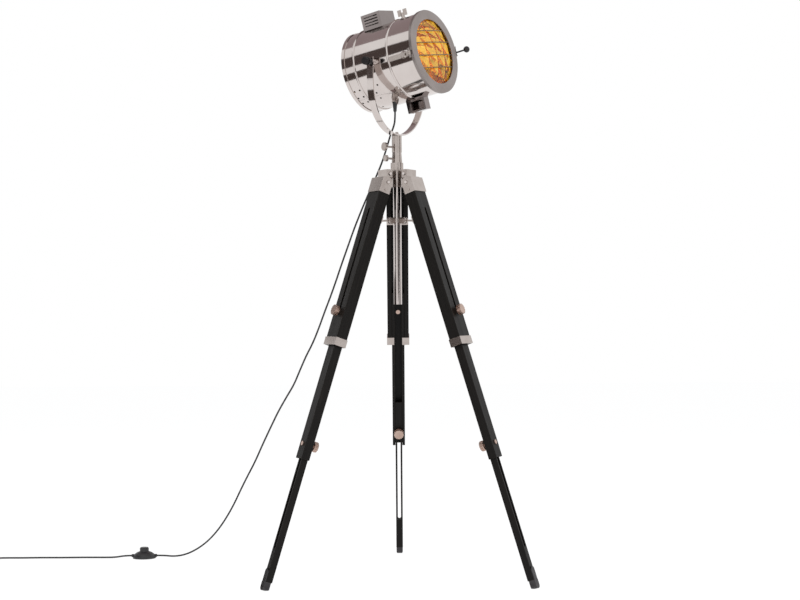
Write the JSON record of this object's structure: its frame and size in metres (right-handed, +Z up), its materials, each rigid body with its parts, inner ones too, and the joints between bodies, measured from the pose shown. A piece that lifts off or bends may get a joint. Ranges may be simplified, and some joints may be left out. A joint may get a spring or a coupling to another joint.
{
  "type": "tripod spotlight floor lamp",
  "caption": "Floor lamp with a round spotlight head in a tilting yoke on a three-legged telescopic wooden tripod with metal fittings and a corded foot switch.",
  "frame": {"origin": "on the floor, under the middle of the box that holds the lamp without its cord", "axes": "+Z up, -Y towards the pictured side: two legs stand towards -Y, one towards +Y, and the spotlight faces +X and -Y"},
  "size_m": [1.5601, 0.5805, 1.4213],
  "materials": {
    "black_wood": "black stain with a low sheen",
    "polished_nickel": "polished nickel plate",
    "satin_nickel": "satin nickel",
    "dark_steel": "dark satin metal",
    "black_plastic": "black moulded plastic",
    "cord_jacket": "black jacket",
    "clear_glass": "clear flat glass",
    "gold_reflector": "bright faceted gold reflector",
    "bulb_glass": "clear lamp bulb",
    "lamp_holder": "dark moulded lamp holder"
  },
  "bodies": {
    "hub": {"hub": "polished_nickel", "hub_bolts": "polished_nickel", "cord_fall": "cord_jacket", "cord_lead": "cord_jacket", "cord_coil": "cord_jacket", "plug": "black_plastic", "foot_switch": "black_plastic"},
    "neck_screw": {"neck_screw": "polished_nickel"},
    "switch_button": {"switch_button": "black_plastic"},
    "spreader_ring": {"spreader_ring": "polished_nickel"},
    "column": {"column": "polished_nickel"},
    "yoke": {"swivel_sleeve": "polished_nickel", "yoke": "polished_nickel", "yoke_bolts": "polished_nickel"},
    "swivel_screw": {"swivel_screw": "polished_nickel"},
    "tilt_knob": {"tilt_knob": "dark_steel"},
    "head": {"drum": "polished_nickel", "back_cover": "polished_nickel", "hinge_strap": "polished_nickel", "vent_housings": "polished_nickel", "wing_screws": "polished_nickel", "gland": "black_plastic", "lamp_holder": "lamp_holder", "bulb": "bulb_glass", "reflector": "gold_reflector", "cord_drop": "cord_jacket"},
    "door": {"bezel": "satin_nickel", "glass": "clear_glass", "guard_wires": "polished_nickel"},
    "latch": {"latch": "dark_steel"},
    "leg_left": {"leg_left_bracket": "polished_nickel", "leg_left_upper": "black_wood", "leg_left_bands": "polished_nickel", "leg_left_screws": "polished_nickel"},
    "leg_left_link": {"leg_left_link": "polished_nickel"},
    "leg_left_mid": {"leg_left_mid": "black_wood"},
    "leg_left_lower": {"leg_left_lower": "black_wood", "leg_left_foot": "polished_nickel"},
    "leg_left_upper_knob": {"leg_left_upper_knob": "polished_nickel"},
    "leg_left_lower_knob": {"leg_left_lower_knob": "polished_nickel"},
    "leg_right": {"leg_right_bracket": "polished_nickel", "leg_right_upper": "black_wood", "leg_right_bands": "polished_nickel", "leg_right_screws": "polished_nickel"},
    "leg_right_link": {"leg_right_link": "polished_nickel"},
    "leg_right_mid": {"leg_right_mid": "black_wood"},
    "leg_right_lower": {"leg_right_lower": "black_wood", "leg_right_foot": "polished_nickel"},
    "leg_right_upper_knob": {"leg_right_upper_knob": "polished_nickel"},
    "leg_right_lower_knob": {"leg_right_lower_knob": "polished_nickel"},
    "leg_back": {"leg_back_bracket": "polished_nickel", "leg_back_upper": "black_wood", "leg_back_bands": "polished_nickel", "leg_back_screws": "polished_nickel"},
    "leg_back_link": {"leg_back_link": "polished_nickel"},
    "leg_back_mid": {"leg_back_mid": "black_wood"},
    "leg_back_lower": {"leg_back_lower": "black_wood", "leg_back_foot": "polished_nickel"},
    "leg_back_upper_knob": {"leg_back_upper_knob": "polished_nickel"},
    "leg_back_lower_knob": {"leg_back_lower_knob": "polished_nickel"}
  },
  "joints": [
    {"name": "leg_left_fold", "type": "hinge", "parent": "hub", "child": "leg_left", "pos_m": [-0.03724, -0.1145, 0.984], "axis": [0.5, -0.866, 0], "range_deg": [0, 17]},
    {"name": "leg_left_link_swing", "type": "hinge", "parent": "leg_left", "child": "leg_left_link", "pos_m": [-0.04516, -0.11907, 0.88887], "axis": [0.5, -0.866, 0], "range_deg": [0, 69.35]},
    {"name": "leg_left_mid_slide", "type": "slide", "parent": "leg_left", "child": "leg_left_mid", "axis": [0.2791, 0.1611, 0.9466], "range_m": [0, 0.24]},
    {"name": "leg_left_lower_slide", "type": "slide", "parent": "leg_left_mid", "child": "leg_left_lower", "axis": [0.2791, 0.1611, 0.9466], "range_m": [0, 0.24]},
    {"name": "leg_left_upper_knob_turn", "type": "hinge", "parent": "leg_left_mid", "child": "leg_left_upper_knob", "pos_m": [-0.13269, -0.16961, 0.66025], "axis": [-0.8198, -0.4733, 0.3223], "range_deg": [-180, 180]},
    {"name": "leg_left_lower_knob_turn", "type": "hinge", "parent": "leg_left_mid", "child": "leg_left_lower_knob", "pos_m": [-0.2259, -0.22343, 0.34407], "axis": [0.8198, 0.4733, -0.3223], "range_deg": [-180, 180]},
    {"name": "leg_right_fold", "type": "hinge", "parent": "hub", "child": "leg_right", "pos_m": [0.03724, -0.1145, 0.984], "axis": [0.5, 0.866, 0], "range_deg": [0, 17]},
    {"name": "leg_right_link_swing", "type": "hinge", "parent": "leg_right", "child": "leg_right_link", "pos_m": [0.04516, -0.11907, 0.88887], "axis": [0.5, 0.866, 0], "range_deg": [0, 69.35]},
    {"name": "leg_right_mid_slide", "type": "slide", "parent": "leg_right", "child": "leg_right_mid", "axis": [-0.2791, 0.1611, 0.9466], "range_m": [0, 0.24]},
    {"name": "leg_right_lower_slide", "type": "slide", "parent": "leg_right_mid", "child": "leg_right_lower", "axis": [-0.2791, 0.1611, 0.9466], "range_m": [0, 0.24]},
    {"name": "leg_right_upper_knob_turn", "type": "hinge", "parent": "leg_right_mid", "child": "leg_right_upper_knob", "pos_m": [0.13269, -0.16961, 0.66025], "axis": [0.8198, -0.4733, 0.3223], "range_deg": [-180, 180]},
    {"name": "leg_right_lower_knob_turn", "type": "hinge", "parent": "leg_right_mid", "child": "leg_right_lower_knob", "pos_m": [0.2259, -0.22343, 0.34407], "axis": [-0.8198, 0.4733, -0.3223], "range_deg": [-180, 180]},
    {"name": "leg_back_fold", "type": "hinge", "parent": "hub", "child": "leg_back", "pos_m": [0, -0.05, 0.984], "axis": [-1, 0, 0], "range_deg": [0, 17]},
    {"name": "leg_back_link_swing", "type": "hinge", "parent": "leg_back", "child": "leg_back_link", "pos_m": [0, -0.04086, 0.88887], "axis": [-1, 0, 0], "range_deg": [0, 69.35]},
    {"name": "leg_back_mid_slide", "type": "slide", "parent": "leg_back", "child": "leg_back_mid", "axis": [0, -0.3223, 0.9466], "range_m": [0, 0.24]},
    {"name": "leg_back_lower_slide", "type": "slide", "parent": "leg_back_mid", "child": "leg_back_lower", "axis": [0, -0.3223, 0.9466], "range_m": [0, 0.24]},
    {"name": "leg_back_upper_knob_turn", "type": "hinge", "parent": "leg_back_mid", "child": "leg_back_upper_knob", "pos_m": [0, 0.06021, 0.66025], "axis": [0, 0.9466, 0.3223], "range_deg": [-180, 180]},
    {"name": "leg_back_lower_knob_turn", "type": "hinge", "parent": "leg_back_mid", "child": "leg_back_lower_knob", "pos_m": [0, 0.16785, 0.34407], "axis": [0, -0.9466, -0.3223], "range_deg": [-180, 180]},
    {"name": "spreader_slide", "type": "slide", "parent": "hub", "child": "spreader_ring", "axis": [0, 0, 1], "range_m": [0, 0.03527]},
    {"name": "column_lift", "type": "slide", "parent": "hub", "child": "column", "axis": [0, 0, 1], "range_m": [0, 0.18], "deforming": ["cord_drop"]},
    {"name": "neck_screw_turn", "type": "hinge", "parent": "hub", "child": "neck_screw", "pos_m": [0, -0.093, 1.0456], "axis": [-0.788, -0.6157, 0], "range_deg": [-180, 180]},
    {"name": "yoke_pan", "type": "hinge", "parent": "column", "child": "yoke", "pos_m": [0, -0.093, 1.09], "axis": [0, 0, 1], "range_deg": [-90, 90]},
    {"name": "swivel_screw_turn", "type": "hinge", "parent": "yoke", "child": "swivel_screw", "pos_m": [0, -0.093, 1.0746], "axis": [-0.788, -0.6157, 0], "range_deg": [-180, 180]},
    {"name": "head_tilt", "type": "hinge", "parent": "yoke", "child": "head", "pos_m": [0, -0.093, 1.2755], "axis": [0.5505, 0.8348, 0], "range_deg": [-35, 55]},
    {"name": "tilt_knob_turn", "type": "hinge", "parent": "yoke", "child": "tilt_knob", "pos_m": [0, -0.093, 1.2755], "axis": [-0.5505, -0.8348, 0], "range_deg": [-180, 180]},
    {"name": "door_swing", "type": "hinge", "parent": "head", "child": "door", "pos_m": [0.03191, -0.24334, 1.28852], "axis": [-0.2202, -0.0215, 0.9752], "range_deg": [-110, 0]},
    {"name": "latch_turn", "type": "hinge", "parent": "door", "child": "latch", "pos_m": [0.14793, -0.05769, 1.31882], "axis": [-0.2202, -0.0215, 0.9752], "range_deg": [-60, 0]},
    {"name": "switch_press", "type": "slide", "parent": "hub", "child": "switch_button", "axis": [0, 0, 1], "range_m": [-0.003, 0], "stiffness_N_per_m": 500}
  ],
  "couplings": [
    {"joint": "leg_left_link_swing", "follows": "leg_left_fold", "ratio": 4.05},
    {"joint": "leg_right_fold", "follows": "leg_left_fold", "ratio": 1},
    {"joint": "leg_right_link_swing", "follows": "leg_left_fold", "ratio": 4.05},
    {"joint": "leg_back_fold", "follows": "leg_left_fold", "ratio": 1},
    {"joint": "leg_back_link_swing", "follows": "leg_left_fold", "ratio": 4.05},
    {"joint": "spreader_slide", "follows": "leg_left_fold", "m_per_rad": 0.1172}
  ]
}
